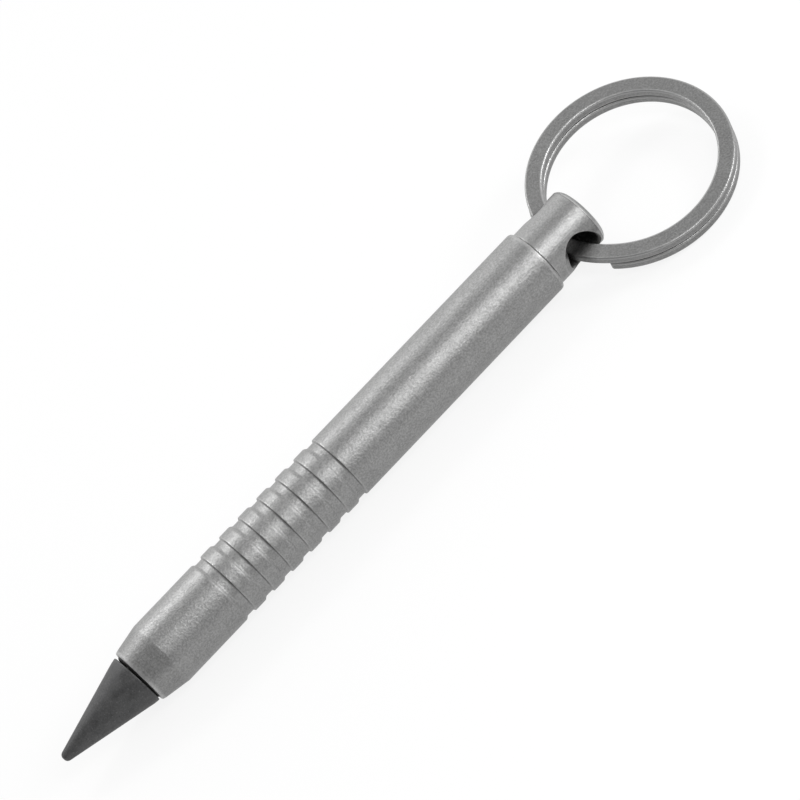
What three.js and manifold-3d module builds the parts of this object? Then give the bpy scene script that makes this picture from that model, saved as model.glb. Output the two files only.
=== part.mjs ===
// Titanium pencil with a screw-in nib and a split ring, lying on its side.
// Millimetres, +Z up, +X from the nib towards the tail. The origin is under the middle of the
// whole object, on the surface that it lies on.
import * as THREE from 'three';
import { mergeVertices } from 'three/addons/utils/BufferGeometryUtils.js';
import Module from 'manifold-3d';

const wasm = await Module();
wasm.setup();

// Barrel
const barrelRadius = 5.0;
const barrelLength = 75.5;
const noseFaceRadius = 4.27;
const noseConeLength = 4.2;
const noseEdgeBreak = 0.3;
const barrelEndRound = 0.5;

// Grip grooves: a soft slope on the nib side, a square wall on the tail side
const grooveCount = 7;
const grooveStart = 15.0;
const groovePitch = 3.5;
const grooveWidth = 1.62;
const grooveDepth = 0.3;
const grooveSlope = 0.38;
const grooveCorner = 0.12;

// Nib, its stud and the seal behind it
const nibLength = 13.9;
const nibBaseRadius = 3.93;
const nibTipRadius = 0.78;
const nibEdgeBreak = 0.22;
const nibGap = 0.45;
const nibThreadRadius = 2.0;
const nibThreadLength = 7.0;
const studShankRadius = 1.6;
const studShankLength = 5.0;
const glueLine = 0.1;
const nibSealRadius = 3.2;
const nibSealThickness = 1.0;
const nibSealRecess = 0.4;

// Tail and its seal
const lugRadius = 4.5;
const lugLength = 8.65;
const lugEndRound = 1.0;
const lugSeam = 0.1;
const boreRadius = 3.2;
const boreSetback = 4.2;
const tailThreadRadius = 3.5;
const tailThreadLength = 7.5;
const tailSealThickness = 0.9;
const tailSealGroove = 1.15;
const tailSealSetback = 1.0;

// Split ring: one flat wire, wound nearly twice, with one crossing between its two layers. Angles
// are in degrees round the ring, from the middle of the tail's bore.
const ringOuterRadius = 14.4;
const wireWidth = 2.05;
const wireThickness = 1.4;
const wireChamfer = 0.28;
const layerGap = 0.5;
const crossingStartAngle = -20;
const crossingEndAngle = 40;
const crossingBulge = 0.35;
const bulgeSpreadAngle = 55;
const lowerEndAngle = 37;
const upperEndAngle = -16;

// How the pencil and its ring lie: the bore's roll about the pencil's axis, then the ring's lean
// across the bore, its turn in its own plane and how far it is pushed in
const boreRoll = 18.3;
const ringSlackTilt = -7.3;
const ringYaw = -4.1;
const ringPull = 0.525;

// Clearances
const threadClearance = 0.15;
const threadRelief = 0.8;
const sealClearance = 0.05;
const threadEntry = 0.5;
const drillPointAngle = 59;
const drillOverrun = 2.0;

// Facets
const turnedSides = 48;
const smallSides = 36;
const boreSides = 48;
const sealCorners = 8;
const ringStepsPerTurn = 60;
const arcSteps = 4;
const weldDistance = 1e-4;

// Search for the swing at which the ring touches the surface, in degrees either way
const swingLimit = 60;
const swingTries = 40;

const fullTurn = 360;

// Places along the axis, measured from the tip of the nib
const noseX = nibLength + nibGap;
const barrelEndX = noseX + barrelLength;
const lugX = barrelEndX + lugSeam;
const lugEndX = lugX + lugLength;
const boreX = lugEndX - boreSetback;

const radians = THREE.MathUtils.degToRad;

// Materials
const finish = (color, roughness, metalness) => new THREE.MeshStandardMaterial({ color, roughness, metalness });
const blastedTitanium = () => finish(0x8d8d8c, 0.42, 1);
const satinTitanium = () => finish(0x9a9a99, 0.34, 1);
const ringTitanium = () => finish(0x838382, 0.36, 1);
const graphiteAlloy = () => finish(0x4c4c4d, 0.5, 0.6);
const plainSteel = () => finish(0xb4b4b2, 0.3, 1);
const blackRubber = () => finish(0x161616, 0.7, 0);

function point(radius, x) {
  return new THREE.Vector2(radius, x);
}

// Points of an arc in the (radius, x) plane, both ends included
function arc(centreRadius, centreX, size, fromDegrees, toDegrees) {
  const points = [];
  for (let i = 0; i <= arcSteps; i += 1) {
    const angle = radians(fromDegrees + ((toDegrees - fromDegrees) * i) / arcSteps);
    points.push(point(centreRadius + size * Math.cos(angle), centreX + size * Math.sin(angle)));
  }
  return points;
}

// A solid of revolution about X from a profile of (radius, x) points
function turned(profile, sides = turnedSides) {
  return new THREE.LatheGeometry(profile, sides).rotateZ(-Math.PI / 2);
}

function toManifold(geometry) {
  const bare = geometry.clone();
  bare.deleteAttribute('normal');
  bare.deleteAttribute('uv');
  const merged = mergeVertices(bare, weldDistance);
  return new wasm.Manifold(new wasm.Mesh({
    numProp: 3,
    vertProperties: Float32Array.from(merged.attributes.position.array),
    triVerts: Uint32Array.from(merged.index.array),
  }));
}

function toGeometry(manifold) {
  const mesh = manifold.getMesh();
  const geometry = new THREE.BufferGeometry();
  geometry.setAttribute('position', new THREE.BufferAttribute(mesh.vertProperties, 3));
  geometry.setIndex(new THREE.BufferAttribute(mesh.triVerts, 1));
  return geometry;
}

function piece(name, geometry, material) {
  const mesh = new THREE.Mesh(geometry, material);
  mesh.name = name;
  return mesh;
}

// Length of the cone that a drill leaves at the bottom of a hole
function drillPoint(radius) {
  return radius / Math.tan(radians(drillPointAngle));
}

// Outline of the grip grooves, from the nib side to the tail side
function grooveProfile() {
  const points = [];
  for (let i = 0; i < grooveCount; i += 1) {
    const start = noseX + grooveStart + i * groovePitch;
    const end = start + grooveWidth;
    const floor = barrelRadius - grooveDepth;
    points.push(point(barrelRadius, start));
    points.push(point(floor, start + grooveSlope));
    points.push(point(floor, end - grooveCorner));
    points.push(point(floor + grooveCorner, end));
    points.push(point(barrelRadius, end));
  }
  return points;
}

// Hole in the nose for the nib's stud, with a recess for its seal, from the bottom to the face
function noseHoleProfile() {
  const holeRadius = nibThreadRadius + threadClearance;
  const holeEnd = noseX + nibThreadLength + threadRelief;
  const recessRadius = nibSealRadius + nibSealThickness / 2 + sealClearance;
  return [
    point(0, holeEnd + drillPoint(holeRadius)),
    point(holeRadius, holeEnd),
    point(holeRadius, noseX + nibSealRecess),
    point(recessRadius, noseX + nibSealRecess),
    point(recessRadius, noseX),
  ];
}

// Hole in the rear end for the tail's spigot, from the face to the bottom
function rearHoleProfile() {
  const holeRadius = tailThreadRadius + threadClearance;
  const holeEnd = barrelEndX - tailThreadLength - threadRelief;
  return [
    point(holeRadius + threadEntry / 2, barrelEndX),
    point(holeRadius, barrelEndX - threadEntry),
    point(holeRadius, holeEnd),
    point(0, holeEnd - drillPoint(holeRadius)),
  ];
}

function makeBarrel() {
  const endCentreRadius = barrelRadius - barrelEndRound;
  const endCentreX = barrelEndX - barrelEndRound;
  const profile = [
    ...noseHoleProfile(),
    point(noseFaceRadius - noseEdgeBreak, noseX),
    point(noseFaceRadius, noseX + noseEdgeBreak),
    point(barrelRadius, noseX + noseConeLength),
    ...grooveProfile(),
    ...arc(endCentreRadius, endCentreX, barrelEndRound, 0, 90),
    ...rearHoleProfile(),
  ];
  return piece('barrel', turned(profile), blastedTitanium());
}

// Half angle of the cone that leaves the round tip smoothly and meets the edge of the nib's base
function nibHalfAngle() {
  const height = nibLength - nibEdgeBreak - nibTipRadius;
  const reach = Math.hypot(nibBaseRadius, height);
  return THREE.MathUtils.radToDeg(Math.atan2(nibBaseRadius, height) - Math.asin(nibTipRadius / reach));
}

function makeNibCone() {
  const socketRadius = studShankRadius + glueLine;
  const socketEnd = nibLength - studShankLength - glueLine;
  const tip = arc(0, nibTipRadius, nibTipRadius, -90, -nibHalfAngle());
  tip[0].x = 0;
  const profile = [
    ...tip,
    point(nibBaseRadius, nibLength - nibEdgeBreak),
    point(nibBaseRadius - nibEdgeBreak, nibLength),
    point(socketRadius, nibLength),
    point(socketRadius, socketEnd),
    point(0, socketEnd),
  ];
  return piece('nib_cone', turned(profile), graphiteAlloy());
}

function makeNibStud() {
  const threadStart = nibLength + glueLine;
  const threadEnd = noseX + nibThreadLength;
  const profile = [
    point(0, nibLength - studShankLength),
    point(studShankRadius, nibLength - studShankLength),
    point(studShankRadius, threadStart),
    point(nibThreadRadius, threadStart),
    point(nibThreadRadius, threadEnd - threadEntry),
    point(nibThreadRadius - threadEntry, threadEnd),
    point(0, threadEnd),
  ];
  return piece('nib_stud', turned(profile, smallSides), plainSteel());
}

// A seal of oval section, squeezed along X
function seal(name, radius, centreX, halfWidth, halfHeight) {
  const profile = [];
  for (let i = 0; i <= sealCorners; i += 1) {
    const angle = radians((fullTurn * (i % sealCorners)) / sealCorners);
    profile.push(point(radius + halfHeight * Math.cos(angle), centreX + halfWidth * Math.sin(angle)));
  }
  return piece(name, turned(profile, smallSides), blackRubber());
}

function makeNibSeal() {
  const space = nibGap + nibSealRecess;
  const centreX = nibLength + space / 2;
  return seal('nib_o_ring', nibSealRadius, centreX, space / 2 - sealClearance, nibSealThickness / 2);
}

// Radius of the bottom of the groove that holds the tail's seal
function tailGrooveRadius() {
  return tailThreadRadius + threadClearance - tailSealThickness - 2 * sealClearance;
}

function makeTailSeal() {
  const radius = tailGrooveRadius() + sealClearance + tailSealThickness / 2;
  const centreX = barrelEndX - tailSealSetback - tailSealGroove / 2;
  return seal('tail_o_ring', radius, centreX, tailSealGroove / 2 - sealClearance, tailSealThickness / 2);
}

// Outline of the tail from the end of its spigot to its rear face
function lugProfile() {
  const spigotEnd = barrelEndX - tailThreadLength;
  const grooveEnd = barrelEndX - tailSealSetback;
  const grooveFront = grooveEnd - tailSealGroove;
  const grooveRadius = tailGrooveRadius();
  return [
    point(0, spigotEnd),
    point(tailThreadRadius - threadEntry, spigotEnd),
    point(tailThreadRadius, spigotEnd + threadEntry),
    point(tailThreadRadius, grooveFront),
    point(grooveRadius, grooveFront),
    point(grooveRadius, grooveEnd),
    point(tailThreadRadius, grooveEnd),
    point(tailThreadRadius, lugX),
    point(lugRadius, lugX),
    ...arc(lugRadius - lugEndRound, lugEndX - lugEndRound, lugEndRound, 0, 90),
    point(0, lugEndX),
  ];
}

function makeTailLug() {
  const body = toManifold(turned(lugProfile()));
  const drillLength = 2 * (lugRadius + drillOverrun);
  const drill = new THREE.CylinderGeometry(boreRadius, boreRadius, drillLength, boreSides);
  drill.rotateX(radians(boreRoll));
  drill.translate(boreX, 0, 0);
  return piece('tail_lug', toGeometry(body.subtract(toManifold(drill))), satinTitanium());
}

// Corners of the wire's section, with its four edges broken, as (outwards, upwards) offsets
function wireSection() {
  const w = wireWidth / 2;
  const h = wireThickness / 2;
  const c = wireChamfer;
  return [
    [w, -h + c], [w, h - c], [w - c, h], [-w + c, h],
    [-w, h - c], [-w, -h + c], [-w + c, -h], [w - c, -h],
  ];
}

// Height of the wire's middle over the ring's middle plane. The wire runs in the lower layer, rises
// through the crossing where it passes the tail's bore, and runs on in the upper layer.
function wireHeight(angle) {
  const middle = fullTurn + (crossingStartAngle + crossingEndAngle) / 2;
  const half = (crossingEndAngle - crossingStartAngle) / 2;
  const t = THREE.MathUtils.clamp((angle - middle) / half, -1, 1);
  return ((wireThickness + layerGap) / 2) * (1.5 * t - 0.5 * t ** 3);
}

// Radius of the wire's middle, which stands out a little where the wire passes the tail's bore
function wireRadius(angle) {
  const t = THREE.MathUtils.clamp((angle - fullTurn) / bulgeSpreadAngle, -1, 1);
  return ringOuterRadius - wireWidth / 2 + (crossingBulge * (1 + Math.cos(Math.PI * t))) / 2;
}

// The wire's section at places along its whole length, each as the places of its corners
function wireStations() {
  const start = lowerEndAngle;
  const end = 2 * fullTurn + upperEndAngle;
  const steps = Math.round(((end - start) / fullTurn) * ringStepsPerTurn);
  const stations = [];
  for (let i = 0; i <= steps; i += 1) {
    const angle = start + ((end - start) * i) / steps;
    stations.push(wireSection().map(([outwards, upwards]) => new THREE.Vector3(
      -(wireRadius(angle) + outwards) * Math.cos(radians(angle)),
      -(wireRadius(angle) + outwards) * Math.sin(radians(angle)),
      wireHeight(angle) + upwards,
    )));
  }
  return stations;
}

// Least distance between corners of the wire that lie at least half a turn apart
function leastWireGap(stations) {
  let least = Infinity;
  stations.forEach((corners, i) => {
    for (let j = i + Math.round(ringStepsPerTurn / 2); j < stations.length; j += 1) {
      corners.forEach((p) => stations[j].forEach((q) => {
        least = Math.min(least, p.distanceTo(q));
      }));
    }
  });
  return least;
}

function wireGeometry(stations) {
  const sides = stations[0].length;
  const positions = stations.flatMap((corners) => corners.flatMap((p) => [p.x, p.y, p.z]));
  const index = [];
  for (let i = 0; i + 1 < stations.length; i += 1) {
    for (let j = 0; j < sides; j += 1) {
      const a = i * sides + j;
      const b = i * sides + ((j + 1) % sides);
      index.push(a, a + sides, b, b, a + sides, b + sides);
    }
  }
  const last = (stations.length - 1) * sides;
  for (let j = 1; j + 1 < sides; j += 1) {
    index.push(0, j, j + 1);
    index.push(last, last + j + 1, last + j);
  }
  const geometry = new THREE.BufferGeometry();
  geometry.setAttribute('position', new THREE.Float32BufferAttribute(positions, 3));
  geometry.setIndex(index);
  return geometry;
}

// Lowest point of a piece in the frame of the whole object
function lowestPoint(mesh) {
  mesh.parent.updateWorldMatrix(true, true);
  const positions = mesh.geometry.attributes.position;
  const p = new THREE.Vector3();
  let lowest = Infinity;
  for (let i = 0; i < positions.count; i += 1) {
    lowest = Math.min(lowest, p.fromBufferAttribute(positions, i).applyMatrix4(mesh.matrixWorld).z);
  }
  return lowest;
}

// The ring hangs in the bore with some slack: it swings about the bore, leans across it and is
// turned a little in its own plane.
function makeRing() {
  const stations = wireStations();
  console.log('least gap of the ring wire to itself, mm:', leastWireGap(stations).toFixed(3));
  const ring = piece('split_ring', wireGeometry(stations), ringTitanium());
  ring.position.x = ringOuterRadius - wireWidth / 2 - ringPull;
  const yaw = new THREE.Group();
  yaw.rotation.z = radians(ringYaw);
  yaw.add(ring);
  const slack = new THREE.Group();
  slack.rotation.x = radians(ringSlackTilt);
  slack.add(yaw);
  const swing = new THREE.Group();
  swing.add(slack);
  const atBore = new THREE.Group();
  atBore.position.x = boreX;
  atBore.rotation.x = radians(boreRoll);
  atBore.add(swing);
  return { ring, swing, atBore };
}

// Swing the ring down until it touches the surface that the barrel lies on
function layRingDown(ring, swing) {
  let high = -swingLimit;
  let low = swingLimit;
  for (let i = 0; i < swingTries; i += 1) {
    const middle = (high + low) / 2;
    swing.rotation.y = radians(middle);
    if (lowestPoint(ring) > 0) {
      high = middle;
    } else {
      low = middle;
    }
  }
  swing.rotation.y = radians(high);
}

function build() {
  const object = new THREE.Group();
  const axis = new THREE.Group();
  axis.position.z = barrelRadius;
  object.add(axis);
  const { ring, swing, atBore } = makeRing();
  axis.add(makeBarrel(), makeNibCone(), makeNibStud(), makeNibSeal(), makeTailLug(), makeTailSeal(), atBore);
  layRingDown(ring, swing);
  object.updateWorldMatrix(true, true);
  const box = new THREE.Box3().setFromObject(object, true);
  const centre = box.getCenter(new THREE.Vector3());
  axis.position.x = -centre.x;
  axis.position.y = -centre.y;
  return object;
}

export default build();
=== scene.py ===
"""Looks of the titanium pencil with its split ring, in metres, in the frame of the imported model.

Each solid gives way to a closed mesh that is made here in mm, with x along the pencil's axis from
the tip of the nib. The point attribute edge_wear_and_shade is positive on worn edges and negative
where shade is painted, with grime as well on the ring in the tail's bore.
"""

import math

import bmesh
import bpy
import numpy as np
from mathutils import Matrix, Vector


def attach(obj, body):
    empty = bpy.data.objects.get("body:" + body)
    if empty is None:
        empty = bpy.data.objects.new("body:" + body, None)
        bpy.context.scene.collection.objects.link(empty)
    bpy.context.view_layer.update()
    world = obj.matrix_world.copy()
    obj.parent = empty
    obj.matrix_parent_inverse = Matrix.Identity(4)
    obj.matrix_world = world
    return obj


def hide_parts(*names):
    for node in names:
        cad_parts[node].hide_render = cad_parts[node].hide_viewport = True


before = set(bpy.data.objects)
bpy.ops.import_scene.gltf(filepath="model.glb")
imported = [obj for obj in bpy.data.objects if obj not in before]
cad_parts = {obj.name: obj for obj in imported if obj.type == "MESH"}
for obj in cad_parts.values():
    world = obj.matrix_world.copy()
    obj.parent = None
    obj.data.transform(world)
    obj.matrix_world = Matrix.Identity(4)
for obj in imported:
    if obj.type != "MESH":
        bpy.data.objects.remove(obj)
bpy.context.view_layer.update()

MM = 0.001

# The tip of the nib in the row frame, mm.
TIP = np.array([-60.82220046, 0.74954663, 5.0])

# Barrel
BARREL_R = 5.0
BARREL_LENGTH = 75.5
NOSE_R = 4.27
NOSE_CONE = 4.2
BARREL_END_ROUND = 0.5
COUNTERBORE = 2.45
COUNTERBORE_SLACK = 0.15
COUNTERBORE_LEAD = 0.5
COUNTERBORE_MOUTH = 0.4
REAR_THREAD = 2.5

# Painted shade that darkens the nose's cone a little, between these shares of the cone's length
CONE_SHADE = -0.12
CONE_SHADE_START = 0.14
CONE_SHADE_END = 0.9

# Grip grooves, each with a sloped front wall and a steep rear wall
GROOVES = 7
GROOVE_START = 15.0
GROOVE_PITCH = 3.5
GROOVE_WIDTH = 1.62
GROOVE_DEPTH = 0.3
GROOVE_SLOPE = 0.38
GROOVE_WALL_FOOT = -0.12
GROOVE_WALL_TOP = 0.03

# Nib and stud
NIB_LENGTH = 13.9
NIB_BASE_R = 3.93
NIB_TIP_R = 0.78
NIB_TIP_FLAT = 0.055
NIB_TIP_WEAR = 0.9
NIB_GAP = 0.45
NIB_EDGE = 0.22
NIB_REAR = 0.12
NIB_LEAN = math.radians(1.2)
NIB_LEAN_AXIS = (0.0, -0.729, 0.684)
NIB_HOLE_SLACK = 0.18
SEAL_RECESS = 0.4
NIB_SEAL_R = 3.2
NIB_SEAL_T = 1.0
STUD_R = 2.0
STUD_THREAD = 7.0
STUD_PITCH = 0.7
STUD_LEAD = 0.28
STUD_NECK = 0.45
STUD_SHANK_R = 1.6
STUD_SHANK = 5.0

# Tail
LUG_R = 4.5
LUG_LENGTH = 8.65
LUG_ROUND = 1.25
LUG_EDGE = math.radians(24)
LUG_FACE_R = 1.6
SEAM = 0.1
SEAM_CLOSED = 0.05
SPIGOT_R = 3.5
SPIGOT_THREAD = 7.5
SPIGOT_PITCH = 0.75
TAIL_SEAL_T = 0.9
TAIL_GROOVE = 1.15
TAIL_SETBACK = 1.0
TAIL_GROOVE_R = 2.65

# Cross bore in the tail. Its mouth sinks in, and on the seen side it is worn less deep in places.
BORE_R = 3.2
BORE_SETBACK = 4.2
BORE_ROLL = math.radians(18.3)
EDGE_BREAK = 0.11
SINK_BORE_R = 2.5
SINK_DEPTH = 0.6
WORN_DEPTH = 0.2
WORN_REAR = 0.25
WORN_REACH = 0.15
WORN_SHIFT = 0.3
FLARE_R = 3.08
FLARE_DEPTH = 1.6
FLARE_MIN = 0.3
MOUTH_SPREAD = 1.35
LIP_SHARE = 0.22

# Split ring
RING_R = 14.45
RING_CENTRE = 12.85
WIRE_W = 2.4
WIRE_T = 1.3
WIRE_CHAMFER = 0.16
WIRE_SOFTENING = 0.06
WIRE_WORN_BAND = 0.16
WIRE_END_SIZE = 0.68
WIRE_END_EASE = 0.42
# Grime where the wire rubs in the tail's bore, and painted shade of the tail on the wire beside
# the bore: how dark, where it ends on either side, and how far it fades.
WIRE_GRIME_AND_SHADE = 0.6
GRIME_AND_SHADE_ENDS = (-4.6, 7.4)
GRIME_AND_SHADE_FADES = (0.9, 1.8)
LAYER_GAP = 0.2
CROSSING = (-20.0, 40.0)
CROSSING_BULGE = 0.35
BULGE_SPREAD = 55.0
LOWER_END = 37.0
UPPER_END = -16.0
RING_SWING = 2.1845
RING_TILT = -7.3
RING_YAW = -4.1

# Threads and tapped holes
THREAD_SLACK = 0.12
THREAD_DEPTH = 0.6134
THREAD_FLANK = 1.41
THREAD_STEPS = 12
HOLE_BEYOND = 0.8
DRILL_OVER = 0.15
DRILL_POINT = math.radians(59)

# How finely the meshes are made
SIDES = 192
STUD_SIDES = 128
SEAL_SIDES = 144
SEAL_ROWS = 40
TIP_ROWS = 14
CONE_ROWS = 24
HALF_SIDES = 96
SIDE_ROWS = 44
MOUTH_LAYERS = 14
LIP_ROWS = 4
FACE_ROWS = 5
BORE_ROWS = 16
RIM_ROWS = 12
RING_ROWS = 441
WELD = 2e-7
SLIVER = 1e-8

# Places along the axis
NOSE_X = NIB_LENGTH + NIB_GAP
BARREL_END = NOSE_X + BARREL_LENGTH
LUG_X = BARREL_END + SEAM
LUG_END = LUG_X + LUG_LENGTH
BORE_X = LUG_END - BORE_SETBACK

# The rear rim's round starts with an edge, this far from the shoulder.
LUG_STRAIGHT = LUG_LENGTH - LUG_ROUND * (1 - math.sin(LUG_EDGE))

# Directions of the cross bore
BORE_ALONG = np.array([0.0, math.cos(BORE_ROLL), math.sin(BORE_ROLL)])
BORE_ACROSS = np.array([0.0, -math.sin(BORE_ROLL), math.cos(BORE_ROLL)])


def add_object(name, data):
    """A new object in the scene."""
    obj = bpy.data.objects.new(name, data)
    bpy.context.scene.collection.objects.link(obj)
    return obj


# ---------------------------------------------------------------- meshes

class Skin:
    """Points, faces, worn edges and painted shade of one piece, in mm on the pencil's axis."""

    def __init__(self):
        self.points = []
        self.wear_and_shade = []
        self.faces = []

    def grid(self, points, wear_and_shade):
        """A sheet of quads from an array of rows of points, closed from last column to first."""
        rows, columns = points.shape[:2]
        start = len(self.points)
        self.points.extend(points.reshape(-1, 3).tolist())
        wear_and_shade = np.asarray(wear_and_shade, float).reshape(rows, -1)
        self.wear_and_shade.extend(np.broadcast_to(wear_and_shade, (rows, columns)).ravel().tolist())
        for i in range(rows - 1):
            for j in range(columns):
                k = (j + 1) % columns
                a = start + i * columns
                self.faces.append((a + j, a + k, a + columns + k, a + columns + j))

    def turn(self, rows, angles):
        """A surface of revolution from rows (radius, x, wear).

        A radius may be an array, one for each angle.
        """
        points = np.zeros((len(rows), len(angles), 3))
        for i, (radius, x, _) in enumerate(rows):
            points[i, :, 0] = x
            points[i, :, 1] = radius * np.cos(angles)
            points[i, :, 2] = radius * np.sin(angles)
        self.grid(points, [row[2] for row in rows])

    def fan(self, loop, centre, wear_and_shade):
        """Closes a loop of points with triangles to its centre."""
        start = len(self.points)
        self.points.extend([list(p) for p in loop] + [list(centre)])
        self.wear_and_shade.extend([wear_and_shade] * (len(loop) + 1))
        middle = start + len(loop)
        for j in range(len(loop)):
            self.faces.append((start + j, start + (j + 1) % len(loop), middle))

    def make(self, name, material, body, node, slot, crease=38.0, matrix=None):
        """The Blender object, welded, with outward normals, on its body in place of its node."""
        points = np.array(self.points)
        if matrix is not None:
            points = points @ np.array(matrix.to_3x3()).T + np.array(matrix.translation)
        points = (points + TIP) * MM
        mesh = bpy.data.meshes.new(name)
        mesh.from_pydata(points.tolist(), [], self.faces)
        attribute = mesh.attributes.new("edge_wear_and_shade", "FLOAT", "POINT")
        attribute.data.foreach_set("value", np.array(self.wear_and_shade, np.float32))
        bm = bmesh.new()
        bm.from_mesh(mesh)
        bmesh.ops.remove_doubles(bm, verts=bm.verts, dist=WELD)
        bmesh.ops.dissolve_degenerate(bm, dist=SLIVER, edges=bm.edges)
        bmesh.ops.recalc_face_normals(bm, faces=bm.faces)
        open_edges = sum(1 for e in bm.edges if len(e.link_faces) != 2)
        bm.to_mesh(mesh)
        bm.free()
        print("piece", name, "faces", len(mesh.polygons), "open edges", open_edges)
        mesh.polygons.foreach_set("use_smooth", [True] * len(mesh.polygons))
        mesh.set_sharp_from_angle(angle=math.radians(crease))
        mesh.update()
        mesh.materials.append(material)
        obj = add_object(name, mesh)
        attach(obj, body)
        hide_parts(node)


def bend(start, corner, end, t):
    """The point at t, from 0 to 1, of the curve that rounds a corner."""
    return (1 - t) ** 2 * start + 2 * t * (1 - t) * corner + t * t * end


def rounded(corners, steps=4):
    """Rows (radius, x, wear) of an outline with rounded corners.

    A corner is (radius, x, cut, wear), where cut is the length that its rounding takes off both
    sides. A row beside a long side's rounding keeps the wear close to the corner.
    """
    beside = 0.1
    rows = []
    for i, (r, x, cut, wear_and_shade) in enumerate(corners):
        p = np.array([r, x])
        if cut <= 0 or i in (0, len(corners) - 1):
            rows.append((r, x, wear_and_shade))
            continue
        before = np.array(corners[i - 1][:2]) - p
        after = np.array(corners[i + 1][:2]) - p
        length_b, length_a = np.linalg.norm(before), np.linalg.norm(after)
        cut_b, cut_a = min(cut, 0.45 * length_b), min(cut, 0.45 * length_a)
        start, end = p + before / length_b * cut_b, p + after / length_a * cut_a
        if length_b > 2.4 * (cut_b + beside):
            rows.append((*(p + before / length_b * (cut_b + beside)), 0.0))
        for k in range(steps + 1):
            rows.append((*bend(start, p, end, k / steps), wear_and_shade))
        if length_a > 2.4 * (cut_a + beside):
            rows.append((*(p + after / length_a * (cut_a + beside)), 0.0))
    return rows


def ring_angles(sides, start=0.0):
    """The angles of a turned piece's sides."""
    return start + np.arange(sides) * 2 * math.pi / sides


def thread_height(x, angles, pitch):
    """1 on the crest and 0 in the root of a right-hand thread with 60 degree flanks."""
    phase = x / pitch - angles / (2 * math.pi)
    ramp = np.abs(2 * np.mod(phase, 1.0) - 1)
    return np.clip((ramp - 0.5) * THREAD_FLANK + 0.5, 0, 1)


def thread_rows(start, end, crest, pitch, angles, slack, chamfer):
    """Rows of a thread from start to end, wider by slack.

    chamfer is (x, radius there, slope). With a positive slope it limits the outer radius, with a
    negative one the inner radius.
    """
    depth = THREAD_DEPTH * pitch
    count = max(2, int(abs(end - start) / pitch * THREAD_STEPS))
    rows = []
    for i in range(count + 1):
        x = start + (end - start) * i / count
        radius = crest - depth * (1 - thread_height(x, angles, pitch)) + slack
        limit = chamfer[1] + abs(x - chamfer[0]) * chamfer[2]
        radius = np.minimum(radius, limit) if chamfer[2] > 0 else np.maximum(radius, limit)
        rows.append((radius, x, 0.0))
    return rows


def barrel_skin():
    """The barrel: the nose's tapped hole, the outside with its grooves, and the rear's hole."""
    angles = ring_angles(SIDES)
    hole_end = NOSE_X + STUD_THREAD + HOLE_BEYOND
    recess_x = NOSE_X + SEAL_RECESS
    recess_r = NIB_SEAL_R + NIB_SEAL_T / 2 + 0.05
    rows = [
        (0.0, hole_end + (STUD_R + DRILL_OVER) / math.tan(DRILL_POINT), 0.0),
        (STUD_R + THREAD_SLACK, hole_end, 0.0),
    ]
    rows += thread_rows(hole_end - 0.05, recess_x + 0.02, STUD_R, STUD_PITCH, angles,
                        THREAD_SLACK, (recess_x, STUD_R + STUD_LEAD, -1.0))
    cone = BARREL_R - NOSE_R
    outline = [
        (STUD_R + STUD_LEAD, recess_x, 0, 0),
        (recess_r, recess_x, 0.05, 0),
        (recess_r, NOSE_X, 0.05, 0.7),
        (NOSE_R - 0.05, NOSE_X, 0.3, 0.7),
        # The nose's cone is darkened here as painted shade.
        (NOSE_R + CONE_SHADE_START * cone, NOSE_X + CONE_SHADE_START * NOSE_CONE, 0, CONE_SHADE),
        (NOSE_R + CONE_SHADE_END * cone, NOSE_X + CONE_SHADE_END * NOSE_CONE, 0, CONE_SHADE),
        (BARREL_R, NOSE_X + NOSE_CONE, 0.05, 0.0),
    ]
    floor = BARREL_R - GROOVE_DEPTH
    for i in range(GROOVES):
        start = NOSE_X + GROOVE_START + i * GROOVE_PITCH
        end = start + GROOVE_WIDTH
        outline += [
            (BARREL_R, start, 0.16, 0.0),
            (floor, start + GROOVE_SLOPE, 0.14, 0),
            # The foot of the steep rear wall gets a little worn colour as painted light, which
            # lifts the shade in that corner.
            (floor, end + GROOVE_WALL_FOOT, 0.14, 0.1),
            (BARREL_R, end + GROOVE_WALL_TOP, 0.08, 0.45),
        ]
    bore_r = SPIGOT_R + COUNTERBORE_SLACK
    outline += [
        # The barrel's worn rear edge, made lighter also as a painted highlight.
        (BARREL_R, BARREL_END, BARREL_END_ROUND, 0.6),
        (SPIGOT_R + COUNTERBORE_MOUTH, BARREL_END, 0.06, 0.5),
        (bore_r, BARREL_END - COUNTERBORE_LEAD, 0.05, 0),
        (bore_r, BARREL_END - COUNTERBORE, 0, 0),
    ]
    rows += rounded(outline, steps=5)
    rear_end = BARREL_END - SPIGOT_THREAD - HOLE_BEYOND
    rows += thread_rows(BARREL_END - REAR_THREAD, rear_end + 0.05, SPIGOT_R, SPIGOT_PITCH, angles,
                        THREAD_SLACK, (BARREL_END - COUNTERBORE, bore_r, -1.0))
    rows += [
        (SPIGOT_R + THREAD_SLACK, rear_end, 0.0),
        (0.0, rear_end - (SPIGOT_R + DRILL_OVER) / math.tan(DRILL_POINT), 0.0),
    ]
    skin = Skin()
    skin.turn(rows, angles)
    return skin


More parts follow.
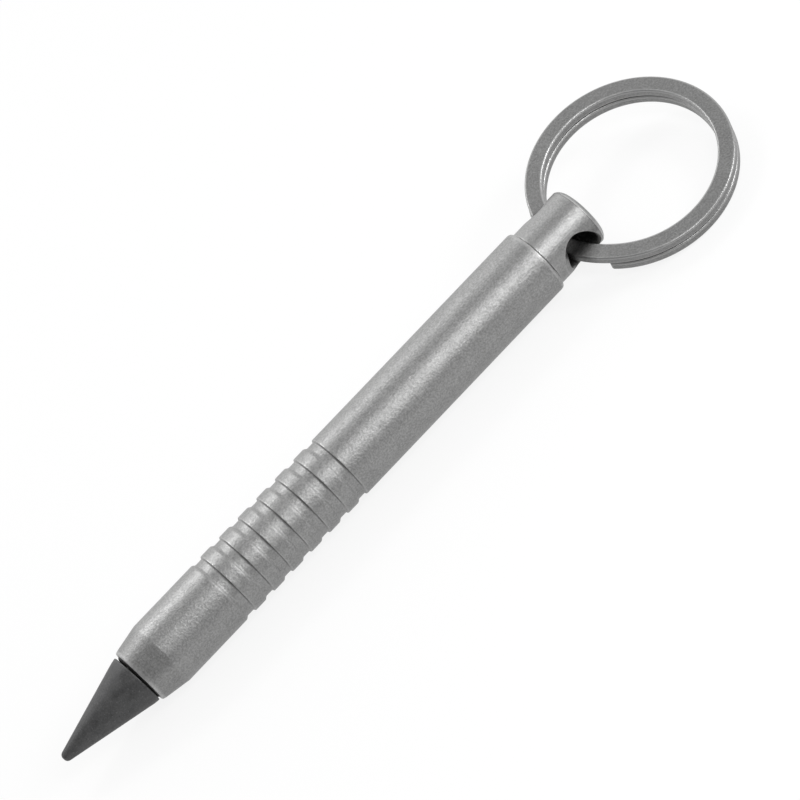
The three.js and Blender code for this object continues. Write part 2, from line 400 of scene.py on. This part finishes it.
def nib_skin():
    """The nib: a round tip worn to a small flat, the cone, and the stud's hole in the foot."""
    height = NIB_LENGTH - NIB_EDGE - NIB_TIP_R
    half = math.atan2(NIB_BASE_R, height) - math.asin(NIB_TIP_R / math.hypot(NIB_BASE_R, height))
    rows = []
    for i in range(TIP_ROWS + 1):
        a = -math.pi / 2 + (math.pi / 2 - half) * i / TIP_ROWS
        flat = NIB_TIP_FLAT * max(0.0, 1 - 2 * i / TIP_ROWS)
        rows.append((NIB_TIP_R * math.cos(a), NIB_TIP_R + NIB_TIP_R * math.sin(a) + flat,
                     NIB_TIP_WEAR * (1 - i / TIP_ROWS)))
    rows[0] = (0.0, rows[0][1], NIB_TIP_WEAR)
    tip_r, tip_x, _ = rows[-1]
    for i in range(1, CONE_ROWS):
        t = i / CONE_ROWS
        rows.append((tip_r + (NIB_BASE_R - tip_r) * t,
                     tip_x + (NIB_LENGTH - NIB_EDGE - tip_x) * t, 0.0))
    foot = NIB_LENGTH + NIB_REAR
    hole_r = STUD_SHANK_R + NIB_HOLE_SLACK
    hole_end = NIB_LENGTH - STUD_SHANK - 0.1
    base = [
        (rows[-1][0], rows[-1][1], 0, 0),
        (NIB_BASE_R + 0.01, foot, 0.2, 0.35),
        (STUD_SHANK_R + 0.35, foot, 0.05, 0),
        (hole_r, NIB_LENGTH - 0.25, 0.05, 0),
        (hole_r, hole_end, 0.05, 0),
        (0.0, hole_end, 0, 0),
    ]
    rows += rounded(base, steps=6)[1:]
    skin = Skin()
    skin.turn(rows, ring_angles(SIDES))
    return skin


def nib_matrix():
    """The nib leans a little on its stud, as in the photo."""
    base = Vector((NIB_LENGTH, 0, 0))
    lean = Matrix.Rotation(NIB_LEAN, 4, Vector(NIB_LEAN_AXIS))
    return Matrix.Translation(base) @ lean @ Matrix.Translation(-base)


def stud_skin():
    """The stud: a shank in the nib, a collar, a neck and the thread."""
    angles = ring_angles(STUD_SIDES)
    start = NIB_LENGTH + NIB_REAR + 0.02
    end = NOSE_X + STUD_THREAD
    outline = [
        (0.0, NIB_LENGTH - STUD_SHANK, 0, 0),
        (STUD_SHANK_R, NIB_LENGTH - STUD_SHANK, 0.2, 0.3),
        (STUD_SHANK_R, start, 0.04, 0),
        (STUD_R - 0.03, start, 0.08, 0.6),
        (STUD_R - 0.03, start + 0.35, 0.08, 0.4),
        (STUD_R - STUD_NECK, start + 0.6, 0.08, 0),
        (STUD_R - STUD_NECK, start + 0.95, 0, 0),
    ]
    rows = rounded(outline)
    rows += thread_rows(start + 1.0, end, STUD_R, STUD_PITCH, angles, 0.0,
                        (end, STUD_R - 0.5, 0.9))
    rows += [(STUD_R - 0.58, end, 0.3), (0.9, end, 0.0), (0.0, end - 0.35, 0.0)]
    skin = Skin()
    skin.turn(rows, angles)
    return skin


def seal_skin(radius, centre, half_width, half_height):
    """An O-ring with a faint flash line round its outside and inside."""
    rows = []
    for i in range(SEAL_ROWS + 1):
        a = 2 * math.pi * i / SEAL_ROWS
        flash = 0.012 * max(0.0, 1 - abs(math.sin(a)) * 14)
        rows.append((radius + (half_height + flash) * math.cos(a),
                     centre + half_width * math.sin(a), 0.0))
    skin = Skin()
    skin.turn(rows, ring_angles(SEAL_SIDES))
    return skin


# ---------------------------------------------------------------- tail with its cross bore

def lug_outline(v):
    """(radius, x) of the tail's outside at v mm along its outline from the shoulder."""
    if v <= LUG_STRAIGHT:
        return LUG_R, LUG_X + v
    a = LUG_EDGE + (v - LUG_STRAIGHT) / LUG_ROUND
    return (LUG_R - LUG_ROUND * (math.cos(LUG_EDGE) - math.cos(a)),
            LUG_X + LUG_STRAIGHT + LUG_ROUND * (math.sin(a) - math.sin(LUG_EDGE)))


def lug_along(x):
    """The outline length v of a place x on the tail's outside."""
    d = x - LUG_X
    if d <= LUG_STRAIGHT:
        return d
    sine = min(1.0, math.sin(LUG_EDGE) + (d - LUG_STRAIGHT) / LUG_ROUND)
    return LUG_STRAIGHT + LUG_ROUND * (math.asin(sine) - LUG_EDGE)


def mouth(radius, phi):
    """(angle, v) where a bore of that radius meets the tail's outside, at the bore's angle phi."""
    v = lug_along(BORE_X + radius * math.cos(phi))
    outside = lug_outline(v)[0]
    return math.asin(radius * math.sin(phi) / outside), v


def lug_point(angle, v, side):
    """A point of the tail's outside, angle from the bore's axis on that side of it."""
    r, x = lug_outline(v)
    out = side * r * math.cos(angle) * BORE_ALONG
    return np.array([x, 0, 0]) + out + r * math.sin(angle) * BORE_ACROSS


def edge_loop(v0, v1):
    """Border (angle, v) of one half of the tail's outside, in the order of the bore's angle."""
    quarter = math.pi / 2
    half = HALF_SIDES // 2
    loop = [(quarter * k / half, v1) for k in range(half)]
    loop += [(quarter, v1 + (v0 - v1) * k / SIDE_ROWS) for k in range(SIDE_ROWS)]
    loop += [(quarter - 2 * quarter * k / HALF_SIDES, v0) for k in range(HALF_SIDES)]
    loop += [(-quarter, v0 + (v1 - v0) * k / SIDE_ROWS) for k in range(SIDE_ROWS)]
    loop += [(-quarter + quarter * k / half, v1) for k in range(half)]
    return loop


def mouth_shape(phis, side):
    """(sink, reach, flat) of the mouth at the bore's angles.

    sink is how deep its face goes in, reach how far the bore's wall lies from the bore's axis
    along the pencil, and flat is 1 where the face is worn flat. Only the seen side is worn.
    """
    sink = np.full(len(phis), SINK_DEPTH)
    if side > 0:
        return sink, SINK_BORE_R * np.cos(phis), np.zeros(len(phis))
    flat = np.clip(-1.6 * np.cos(phis) - 0.4, 0, 1)
    sink -= (SINK_DEPTH - WORN_DEPTH) * np.maximum(flat, np.clip(-np.sin(phis), 0, 1))
    sink -= WORN_REAR * np.clip(np.cos(phis), 0, 1)
    return sink, (SINK_BORE_R + WORN_REACH) * np.cos(phis) + WORN_SHIFT, flat


def tail_half(skin, border, side):
    """One half of the tail's outside and its mouth. Returns where the bore's wall starts."""
    phis = [math.atan2(LUG_R * angle, v - (BORE_X - LUG_X)) for angle, v in border]
    edge = [mouth(BORE_R + EDGE_BREAK, phi) for phi in phis]
    rows, wear_and_shade = [], []
    for k in range(MOUTH_LAYERS, -1, -1):
        t = (k / MOUTH_LAYERS) ** MOUTH_SPREAD
        rows.append(np.array([lug_point(a + (b[0] - a) * t, v + (b[1] - v) * t, side)
                              for (a, v), b in zip(edge, border)]))
        wear_and_shade.append(0.3 if k == 0 else 0.0)

    rim = np.array([lug_point(*mouth(BORE_R, phi), side) for phi in phis])
    sink, reach, flat = mouth_shape(phis, side)
    foot = np.outer(reach, [1, 0, 0]) + np.outer(FLARE_R * np.sin(phis), BORE_ACROSS)
    foot += np.array([BORE_X, 0, 0]) + np.outer(rim @ BORE_ALONG - side * sink, BORE_ALONG)
    flare = np.sin(phis)[:, None] ** 2
    wall = foot - side * (FLARE_MIN + FLARE_DEPTH * flare) * BORE_ALONG
    wall -= np.outer((FLARE_R - SINK_BORE_R) * np.sin(phis), BORE_ACROSS)

    # Painted shade on the mouth's face at the rear and on both sides, growing to full painted
    # shade down the bore's wall, and wear on its lip
    face = -np.clip(2.5 * np.cos(phis), 0, 1) - 0.9 * np.clip(3 * np.abs(np.sin(phis)) - 1.6, 0, 1)
    face = np.clip(face, -1, 0)
    lip = 0.6 - 0.4 * np.clip(np.cos(phis), 0, 1)
    outside = rows[-1]
    for k in range(1, LIP_ROWS + 1):
        t = k / LIP_ROWS
        rows.append(bend(outside, rim, rim + LIP_SHARE * (foot - rim), t))
        wear_and_shade.append((1 - t) * lip + t * face)
    turn = rim + (0.6 + 0.3 * flat)[:, None] * (foot - rim)
    for k in range(FACE_ROWS + 1):
        t = k / FACE_ROWS
        rows.append(bend(turn, foot, wall, t))
        wear_and_shade.append(np.maximum(-1, (1 - t) * face - t))
    skin.grid(np.array(rows), np.array([np.broadcast_to(w, len(phis)) for w in wear_and_shade]))
    return wall


def tail_skin():
    """The tail: its outside with the cross bore, the rear rim and face, and the spigot."""
    skin = Skin()
    v0, v1 = 0.25, LUG_STRAIGHT - 0.06
    border = edge_loop(v0, v1)
    walls = [tail_half(skin, border, side) for side in (1, -1)]
    bore = [walls[0] + (walls[1] - walls[0]) * k / BORE_ROWS for k in range(BORE_ROWS + 1)]
    # The bore's wall is fully dark, as painted shade.
    skin.grid(np.array(bore), [-1.0] * len(bore))

    angles = ring_angles(2 * HALF_SIDES, BORE_ROLL - math.pi / 2)
    rear = [
        (*lug_outline(v1), 0.0),
        # A thin dark line along the edge where the rim's round starts, as a painted reflection.
        (*lug_outline(LUG_STRAIGHT - 0.03), -0.4),
        (*lug_outline(LUG_STRAIGHT + 0.03), -0.4),
    ]
    round_start = LUG_STRAIGHT + 0.1
    round_end = LUG_STRAIGHT + LUG_ROUND * (math.pi / 2 - LUG_EDGE)
    for k in range(RIM_ROWS + 1):
        v = round_start + (round_end - round_start) * k / RIM_ROWS
        rear.append((*lug_outline(v), max(0.1, 0.9 - 0.2 * k)))
    rear += [(rear[-1][0] - 0.15, LUG_END, 0.0), (LUG_FACE_R, LUG_END, 0.0), (0.0, LUG_END, 0.0)]
    skin.turn(rear, angles)

    groove_end = BARREL_END - TAIL_SETBACK
    groove_front = groove_end - TAIL_GROOVE
    spigot_end = BARREL_END - SPIGOT_THREAD
    outline = [
        (*lug_outline(v0), 0, 0),
        (LUG_R, LUG_X - SEAM_CLOSED, 0.06, 0.4),
        (SPIGOT_R, LUG_X - SEAM_CLOSED, 0.05, 0),
        (SPIGOT_R, groove_end, 0.06, 0.4),
        (TAIL_GROOVE_R, groove_end, 0.08, 0),
        (TAIL_GROOVE_R, groove_front, 0.08, 0),
        (SPIGOT_R - 0.02, groove_front, 0.06, 0.4),
        (SPIGOT_R - 0.02, groove_front - 0.2, 0, 0),
    ]
    front = rounded(outline)
    front += thread_rows(groove_front - 0.25, spigot_end, SPIGOT_R, SPIGOT_PITCH, angles, 0.0,
                         (spigot_end, SPIGOT_R - 0.55, 0.9))
    front += [
        (SPIGOT_R - 0.62, spigot_end, 0.3),
        (1.2, spigot_end, 0.0),
        (0.0, spigot_end + 0.6, 0.0),
    ]
    skin.turn(front, angles)
    return skin


# ---------------------------------------------------------------- split ring

def wire_section():
    """Points (outwards, upwards, wear) of the section of a flat wire with softened edges."""
    w, h, c = WIRE_W / 2, WIRE_T / 2, WIRE_CHAMFER
    corners = [(w, -h + c), (w, h - c), (w - c, h), (-w + c, h),
               (-w, h - c), (-w, -h + c), (-w + c, -h), (w - c, -h)]
    section = []
    for i, corner in enumerate(corners):
        p = np.array(corner)
        before, after = np.array(corners[i - 1]) - p, np.array(corners[(i + 1) % 8]) - p
        length_b, length_a = np.linalg.norm(before), np.linalg.norm(after)
        start = p + before / length_b * min(WIRE_SOFTENING, 0.4 * length_b)
        end = p + after / length_a * min(WIRE_SOFTENING, 0.4 * length_a)
        for k in range(4):
            section.append((*bend(start, p, end, k / 3), 0.55 if i in (1, 2) else 0.8))
        if length_a > 0.5:
            for distance in (WIRE_WORN_BAND, length_a - WIRE_WORN_BAND):
                section.append((*(p + after / length_a * distance), 0.0))
    return section


def wire_height(angle):
    """Height of the wire's middle, which changes layer where it crosses."""
    middle = 360 + sum(CROSSING) / 2
    half = (CROSSING[1] - CROSSING[0]) / 2
    t = max(-1.0, min(1.0, (angle - middle) / half))
    return (WIRE_T + LAYER_GAP) / 2 * (1.5 * t - 0.5 * t ** 3)


def wire_radius(angle):
    """Radius of the wire's middle, which stands out a little where it passes the tail's bore."""
    t = max(-1.0, min(1.0, (angle - 360) / BULGE_SPREAD))
    return RING_R - WIRE_W / 2 + CROSSING_BULGE * (1 + math.cos(math.pi * t)) / 2


def wire_grime_and_shade(angle, middle):
    """How dark the wire is made, from 0 to 1: full in the tail's bore, where it is grime, and
    beside it, where it is painted shade of the tail, fading further out.
    """
    a = math.radians(angle)
    from_bore = wire_radius(angle) * math.sin(a) if math.cos(a) > 0 else middle
    after = (GRIME_AND_SHADE_ENDS[1] - from_bore) / GRIME_AND_SHADE_FADES[1]
    before = (from_bore - GRIME_AND_SHADE_ENDS[0]) / GRIME_AND_SHADE_FADES[0]
    return max(0.0, min(1.0, after, before))


def ring_skin():
    """The split ring: one flat wire of nearly two turns, with rounded ends."""
    section = wire_section()
    middle = RING_R - WIRE_W / 2
    start, end = LOWER_END, 720 + UPPER_END
    near = [math.degrees(WIRE_END_EASE * f / middle) for f in (0.04, 0.12, 0.25, 0.45, 0.7, 1.0)]
    angles = list(np.linspace(start, end, RING_ROWS))
    angles = sorted(set(angles + [start + d for d in near] + [end - d for d in near]))
    grid = np.zeros((len(angles), len(section), 3))
    wear_and_shade = np.zeros((len(angles), len(section)))
    for i, angle in enumerate(angles):
        a = math.radians(angle)
        from_end = min(angle - start, end - angle) * math.pi / 180 * middle
        t = min(1.0, from_end / WIRE_END_EASE)
        size = WIRE_END_SIZE + (1 - WIRE_END_SIZE) * math.sqrt(1 - (1 - t) ** 2)
        # Grime in the tail's bore, and painted shade of the tail beside it.
        grime_and_shade = wire_grime_and_shade(angle, middle)
        for j, (out, up, worn) in enumerate(section):
            radius = wire_radius(angle) + out * size
            height = wire_height(angle) + up * (0.5 + 0.5 * size)
            grid[i, j] = (-radius * math.cos(a), -radius * math.sin(a), height)
            wear_and_shade[i, j] = max(worn, 1 - t) * (1 - grime_and_shade) - WIRE_GRIME_AND_SHADE * grime_and_shade
    skin = Skin()
    skin.grid(grid, wear_and_shade)
    for loop in (grid[0], grid[-1]):
        skin.fan(loop, loop.mean(axis=0), 0.6)
    return skin


def ring_matrix():
    """The ring's place: hung in the bore, swung, and tilted a little by the bore's slack."""
    place = Matrix.Translation((BORE_X, 0, 0)) @ Matrix.Rotation(BORE_ROLL, 4, "X")
    place = place @ Matrix.Rotation(math.radians(RING_SWING), 4, "Y")
    place = place @ Matrix.Rotation(math.radians(RING_TILT), 4, "X")
    place = place @ Matrix.Rotation(math.radians(RING_YAW), 4, "Z")
    return place @ Matrix.Translation((RING_CENTRE, 0, 0))


# ---------------------------------------------------------------- materials

# The dark colour of painted shade, and of the ring's grime in the tail's bore.
GRIME_AND_SHADE_COLOUR = (0.035, 0.034, 0.032)
MOTTLE_SHARE = 0.15
GRAIN_BUMP = 0.9

# Noise drawn out round the axis, as tool lines
TOOL_LINES = (1.0, 0.012, 0.012)
STUD_LINES = (1.0, 0.03, 0.03)


def math_node(tree, operation, *values):
    """The output of a maths node whose inputs are numbers or sockets."""
    node = tree.nodes.new("ShaderNodeMath")
    node.operation = operation
    for socket, value in zip(node.inputs, values):
        if isinstance(value, (int, float)):
            socket.default_value = value
        else:
            tree.links.new(value, socket)
    return node.outputs[0]


class Nodes:
    """A material and the few kinds of node that its surface is made of."""

    def __init__(self, name):
        self.material = bpy.data.materials.new(name)
        self.material.use_nodes = True
        self.tree = self.material.node_tree
        self.shader = self.tree.nodes["Principled BSDF"]
        self.place = self.tree.nodes.new("ShaderNodeTexCoord").outputs["Object"]

    def link(self, a, b):
        self.tree.links.new(a, b)

    def surface(self, colour, roughness, normal):
        """Gives the shader its colour, roughness and bumps."""
        self.link(colour, self.shader.inputs["Base Color"])
        self.link(roughness, self.shader.inputs["Roughness"])
        self.link(normal, self.shader.inputs["Normal"])
        return self.material

    def stretched(self, scale):
        node = self.tree.nodes.new("ShaderNodeMapping")
        node.inputs["Scale"].default_value = scale
        self.link(self.place, node.inputs["Vector"])
        return node.outputs["Vector"]

    def noise(self, size_mm, detail, rough, scale=None):
        """Noise whose features are about size_mm across."""
        node = self.tree.nodes.new("ShaderNodeTexNoise")
        node.inputs["Scale"].default_value = 1.0 / (size_mm * MM)
        node.inputs["Detail"].default_value = detail
        node.inputs["Roughness"].default_value = rough
        self.link(self.stretched(scale) if scale else self.place, node.inputs["Vector"])
        return node.outputs["Fac"]

    def dimples(self, size_mm):
        """Distance from the middles of soft cells of about that size."""
        node = self.tree.nodes.new("ShaderNodeTexVoronoi")
        node.inputs["Scale"].default_value = 1.0 / (size_mm * MM)
        node.feature = "SMOOTH_F1"
        node.inputs["Smoothness"].default_value = 0.6
        self.link(self.place, node.inputs["Vector"])
        return node.outputs["Distance"]

    def remap(self, value, from_low, from_high, low=0.0, high=1.0):
        node = self.tree.nodes.new("ShaderNodeMapRange")
        node.inputs["From Min"].default_value = from_low
        node.inputs["From Max"].default_value = from_high
        node.inputs["To Min"].default_value = low
        node.inputs["To Max"].default_value = high
        self.link(value, node.inputs["Value"])
        return node.outputs["Result"]

    def math(self, operation, a, b):
        return math_node(self.tree, operation, a, b)

    def blend(self, a, b, share):
        """That share of one value and the rest of the other."""
        return self.math("ADD", self.math("MULTIPLY", a, share),
                         self.math("MULTIPLY", b, 1 - share))

    def mix(self, factor, a, b):
        """Mixes two colours, each a colour or a socket."""
        node = self.tree.nodes.new("ShaderNodeMix")
        node.data_type = "RGBA"
        self.link(factor, node.inputs[0])
        for socket, value in ((node.inputs[6], a), (node.inputs[7], b)):
            if isinstance(value, tuple):
                socket.default_value = (*value, 1.0)
            else:
                self.link(value, socket)
        return node.outputs[2]

    def wear_and_shade(self):
        # The mesh's edge_wear_and_shade: positive on worn edges, negative where shade is painted.
        node = self.tree.nodes.new("ShaderNodeAttribute")
        node.attribute_name = "edge_wear_and_shade"
        return node.outputs["Fac"]

    def bump(self, height, strength, distance_mm, below=None):
        node = self.tree.nodes.new("ShaderNodeBump")
        node.inputs["Strength"].default_value = strength
        node.inputs["Distance"].default_value = distance_mm * MM
        self.link(height, node.inputs["Height"])
        if below is not None:
            self.link(below, node.inputs["Normal"])
        return node.outputs["Normal"]


def metal(name, dark, light, worn, roughness, worn_roughness, grain_mm, line_bump,
          least_wear=0.25):
    """Titanium with fine grain, a little mottle, faint tool lines, worn edges, and painted shade
    and grime in one dark colour.
    """
    n = Nodes(name)
    n.shader.inputs["Metallic"].default_value = 1.0
    mottle = n.noise(2.6, 4.0, 0.6)
    grain = n.noise(grain_mm, 2.0, 0.6)
    blend = n.blend(n.remap(mottle, 0.35, 0.65), n.remap(grain, 0.3, 0.7), MOTTLE_SHARE)
    body = n.mix(blend, dark, light)
    ragged = n.remap(n.noise(0.35, 3.0, 0.7), 0.32, 0.62, least_wear, 1.0)
    edge = n.math("MULTIPLY", n.math("MAXIMUM", n.wear_and_shade(), 0.0), ragged)
    # Painted shade, and the ring's grime, where the mesh's value is negative.
    grime_and_shade_level = n.math("MAXIMUM", n.math("MULTIPLY", n.wear_and_shade(), -1.0), 0.0)
    grime_and_shade = n.math("MULTIPLY", grime_and_shade_level, n.remap(ragged, least_wear, 1.0, 0.8, 1.0))
    body = n.mix(grime_and_shade, n.mix(edge, body, worn), GRIME_AND_SHADE_COLOUR)
    rough = n.noise(grain_mm * 2.5, 3.0, 0.6)
    rough = n.remap(rough, 0.3, 0.7, roughness - 0.04, roughness + 0.05)
    polished = n.math("MULTIPLY", edge, roughness - worn_roughness)
    below = n.bump(n.noise(0.11, 2.0, 0.5, TOOL_LINES), line_bump, 0.012)
    below = n.bump(n.dimples(grain_mm * 1.6), GRAIN_BUMP * 0.6, grain_mm * 0.1, below)
    normal = n.bump(grain, GRAIN_BUMP, grain_mm * 0.14, below)
    return n.surface(body, n.math("SUBTRACT", rough, polished), normal)


def graphite():
    """The nib's alloy: mottled and grained, with specks, pits and a shiny worn tip."""
    n = Nodes("graphite_alloy")
    n.shader.inputs["Metallic"].default_value = 0.85
    mottle = n.noise(1.4, 5.0, 0.62)
    grain = n.noise(0.22, 3.0, 0.7)
    blend = n.blend(n.remap(mottle, 0.3, 0.7), n.remap(grain, 0.25, 0.75), 0.5)
    body = n.mix(blend, (0.05, 0.05, 0.051), (0.127, 0.127, 0.128))
    specks = n.remap(n.noise(0.2, 2.0, 0.5), 0.66, 0.72, 0.0, 0.55)
    body = n.mix(specks, body, (0.19, 0.19, 0.19))
    pits = n.remap(n.dimples(0.55), 0.04, 0.11, 1.0, 0.0)
    body = n.mix(pits, body, (0.034, 0.034, 0.035))
    ragged = n.remap(n.noise(0.4, 3.0, 0.7), 0.3, 0.65, 0.2, 1.0)
    edge = n.math("MULTIPLY", n.wear_and_shade(), ragged)
    body = n.mix(edge, body, (0.125, 0.125, 0.126))
    rough = n.remap(mottle, 0.3, 0.7, 0.48, 0.60)
    rough = n.math("SUBTRACT", rough, n.math("MULTIPLY", edge, 0.14))
    below = n.bump(n.noise(0.1, 2.0, 0.5, TOOL_LINES), 0.35, 0.014)
    return n.surface(body, rough, n.bump(grain, 1.0, 0.04, below))


def steel():
    """The stud's turned steel."""
    n = Nodes("stud_steel")
    n.shader.inputs["Metallic"].default_value = 1.0
    mottle = n.remap(n.noise(0.8, 3.0, 0.6), 0.3, 0.7)
    body = n.mix(mottle, (0.36, 0.355, 0.34), (0.50, 0.495, 0.48))
    body = n.mix(n.wear_and_shade(), body, (0.62, 0.62, 0.61))
    rough = n.remap(n.noise(0.3, 3.0, 0.6), 0.3, 0.7, 0.24, 0.38)
    return n.surface(body, rough, n.bump(n.noise(0.07, 2.0, 0.5, STUD_LINES), 0.3, 0.01))


def rubber():
    """The O-rings' black rubber."""
    n = Nodes("seal_rubber")
    n.shader.inputs["IOR"].default_value = 1.5
    n.shader.inputs["Specular IOR Level"].default_value = 0.4
    mottle = n.remap(n.noise(0.5, 4.0, 0.6), 0.35, 0.7)
    body = n.mix(mottle, (0.008, 0.008, 0.008), (0.022, 0.022, 0.021))
    rough = n.remap(n.noise(0.2, 3.0, 0.6), 0.3, 0.7, 0.45, 0.65)
    return n.surface(body, rough, n.bump(n.noise(0.08, 3.0, 0.6), 0.3, 0.01))


# ---------------------------------------------------------------- studio

# The camera, in mm, with its turn: its right, up and back.
CAMERA = (-64.30497, -362.05069, 346.14075)
CAMERA_AXES = (
    (0.68439547, -0.56252923, -0.46385743),
    (0.71669418, 0.40212607, 0.56977546),
    (-0.13398619, -0.72239566, 0.67837468),
)
LENS = 173.025

# The room's soft light: its even part, and the walls towards which it grows.
ROOM = 0.44
ROOM_WALLS = (((1.0, 0.0, 0.0), 0.45), ((0.0, 1.0, 0.0), 0.95))

# Softboxes: name, place, target and size in mm, and watts
SOFTBOXES = (
    ("front_softbox", (75, -190, 245), (0, 0, 5), (75, 200), 0.32),
    ("tail_softbox", (290, -128, 165), (0, 0, 5), (90, 80), 0.36),
    ("rear_softbox", (-20, 200, 240), (-40, 0, 5), (110, 60), 0.15),
    ("rear_low_softbox", (-90, 220, 220), (0, 0, 5), (110, 120), 0.07),
)

# How white the floor is by itself, to the camera and in gloss. The rest is lit, and keeps shadows.
FLOOR_SEEN = 0.85
FLOOR_IN_GLOSS = 0.55
FLOOR_COLOUR = (0.82, 0.82, 0.82, 1)
FLOOR_HALF = 3.0
FLOOR_CELLS = 12
WHITE = (1, 1, 1, 1)


def set_camera():
    data = bpy.data.cameras.new("camera")
    data.lens = LENS
    data.sensor_width = 36.0
    data.clip_start = 0.01
    data.clip_end = 20.0
    camera = add_object("camera", data)
    turn = Matrix(CAMERA_AXES).transposed().to_4x4()
    camera.matrix_world = Matrix.Translation(Vector(CAMERA) * MM) @ turn
    bpy.context.scene.camera = camera


def area_light(name, place_mm, target_mm, size_mm, watts):
    data = bpy.data.lights.new(name, "AREA")
    data.shape = "RECTANGLE"
    data.size, data.size_y = (s * MM for s in size_mm)
    data.energy = watts
    place, target = Vector(place_mm) * MM, Vector(target_mm) * MM
    turn = (place - target).to_track_quat("Z", "Y").to_matrix().to_4x4()
    add_object(name, data).matrix_world = Matrix.Translation(place) @ turn


def mix_shaders(tree, share, first, second, output):
    """Sends the second shader's share and the rest of the first to the output node."""
    mix = tree.nodes.new("ShaderNodeMixShader")
    tree.links.new(share, mix.inputs[0])
    tree.links.new(first.outputs[0], mix.inputs[1])
    tree.links.new(second.outputs[0], mix.inputs[2])
    tree.links.new(mix.outputs[0], tree.nodes[output].inputs["Surface"])


def seen_share(tree):
    """How white the floor is to a ray: most to the camera, and less in gloss and glass."""
    path = tree.nodes.new("ShaderNodeLightPath").outputs
    gloss = math_node(tree, "MAXIMUM", path["Is Glossy Ray"], path["Is Transmission Ray"])
    share = math_node(tree, "MULTIPLY", gloss, FLOOR_IN_GLOSS)
    return math_node(tree, "MULTIPLY_ADD", path["Is Camera Ray"], FLOOR_SEEN, share)


def floor_material():
    material = bpy.data.materials.new("studio_floor")
    material.use_nodes = True
    tree = material.node_tree
    diffuse = tree.nodes["Principled BSDF"]
    diffuse.inputs["Base Color"].default_value = FLOOR_COLOUR
    diffuse.inputs["Roughness"].default_value = 0.9
    diffuse.inputs["Specular IOR Level"].default_value = 0.0
    glow = tree.nodes.new("ShaderNodeEmission")
    glow.inputs["Color"].default_value = WHITE
    glow.inputs["Strength"].default_value = 1.0
    mix_shaders(tree, seen_share(tree), diffuse, glow, "Material Output")
    return material


def make_floor():
    """A plain floor at z = 0, in cells."""
    steps = [(-FLOOR_HALF + 2 * FLOOR_HALF * i / FLOOR_CELLS) for i in range(FLOOR_CELLS + 1)]
    points = [(x, y, 0.0) for x in steps for y in steps]
    faces = []
    for i in range(FLOOR_CELLS):
        for j in range(FLOOR_CELLS):
            a = i * (FLOOR_CELLS + 1) + j
            faces.append((a, a + FLOOR_CELLS + 1, a + FLOOR_CELLS + 2, a + 1))
    mesh = bpy.data.meshes.new("studio_floor")
    mesh.from_pydata(points, [], faces)
    mesh.materials.append(floor_material())
    floor = add_object("studio_floor", mesh)


def room_light(tree):
    """Strength of the room's soft light: even all round, and growing towards its walls."""
    direction = tree.nodes.new("ShaderNodeTexCoord").outputs["Generated"]
    total = ROOM
    for way, strength in ROOM_WALLS:
        dot = tree.nodes.new("ShaderNodeVectorMath")
        dot.operation = "DOT_PRODUCT"
        dot.inputs[1].default_value = way
        tree.links.new(direction, dot.inputs[0])
        wall = math_node(tree, "MAXIMUM", dot.outputs["Value"], 0.0)
        total = math_node(tree, "MULTIPLY_ADD", wall, strength, total)
    return total


def make_world():
    """The room, which is plain white to the camera."""
    world = bpy.data.worlds.new("studio")
    bpy.context.scene.world = world
    world.use_nodes = True
    tree = world.node_tree
    room = tree.nodes["Background"]
    room.inputs["Color"].default_value = WHITE
    tree.links.new(room_light(tree), room.inputs["Strength"])
    white = tree.nodes.new("ShaderNodeBackground")
    white.inputs["Color"].default_value = WHITE
    white.inputs["Strength"].default_value = 1.0
    path = tree.nodes.new("ShaderNodeLightPath")
    mix_shaders(tree, path.outputs["Is Camera Ray"], room, white, "World Output")


def make_seals(material):
    """The two O-rings, each a little smaller than its recess or groove."""
    depth = NIB_GAP + SEAL_RECESS
    nib_seal = seal_skin(NIB_SEAL_R, NIB_LENGTH + (NIB_REAR + depth) / 2,
                         (depth - NIB_REAR) / 2 - 0.03, NIB_SEAL_T / 2 - 0.02)
    nib_seal.make("nib_seal_skin", material, "nib_seal", "nib_o_ring", "seal_rubber")
    tail_seal = seal_skin(TAIL_GROOVE_R + 0.05 + TAIL_SEAL_T / 2,
                          BARREL_END - TAIL_SETBACK - TAIL_GROOVE / 2,
                          TAIL_GROOVE / 2 - 0.05, TAIL_SEAL_T / 2 - 0.02)
    tail_seal.make("tail_seal_skin", material, "tail_seal", "tail_o_ring", "seal_rubber")


def make_object():
    blasted = metal(
        "blasted_titanium", dark=(0.215, 0.215, 0.214), light=(0.357, 0.357, 0.355),
        worn=(0.46, 0.46, 0.458), roughness=0.44, worn_roughness=0.32, grain_mm=0.26,
        line_bump=0.15)
    satin = metal(
        "satin_titanium", dark=(0.232, 0.232, 0.231), light=(0.358, 0.358, 0.356),
        worn=(0.50, 0.50, 0.498), roughness=0.40, worn_roughness=0.28, grain_mm=0.24,
        line_bump=0.2)
    ring = metal(
        "ring_titanium", dark=(0.165, 0.165, 0.164), light=(0.278, 0.278, 0.276),
        worn=(0.43, 0.43, 0.428), roughness=0.38, worn_roughness=0.36, grain_mm=0.24,
        line_bump=0.0, least_wear=0.8)
    barrel_skin().make("barrel_skin", blasted, "barrel", "barrel", "barrel_titanium")
    nib_skin().make("nib_skin", graphite(), "nib", "nib_cone", "nib_alloy", matrix=nib_matrix())
    stud_skin().make("stud_skin", steel(), "nib", "nib_stud", "stud_steel")
    make_seals(rubber())
    tail_skin().make("tail_skin", satin, "tail", "tail_lug", "tail_titanium")
    ring_skin().make("ring_skin", ring, "ring", "split_ring", "ring_titanium", 45.0, ring_matrix())


def main():
    make_object()
    make_floor()
    make_world()
    for softbox in SOFTBOXES:
        area_light(*softbox)
    set_camera()
    bpy.context.scene.view_settings.view_transform = "Standard"


main()
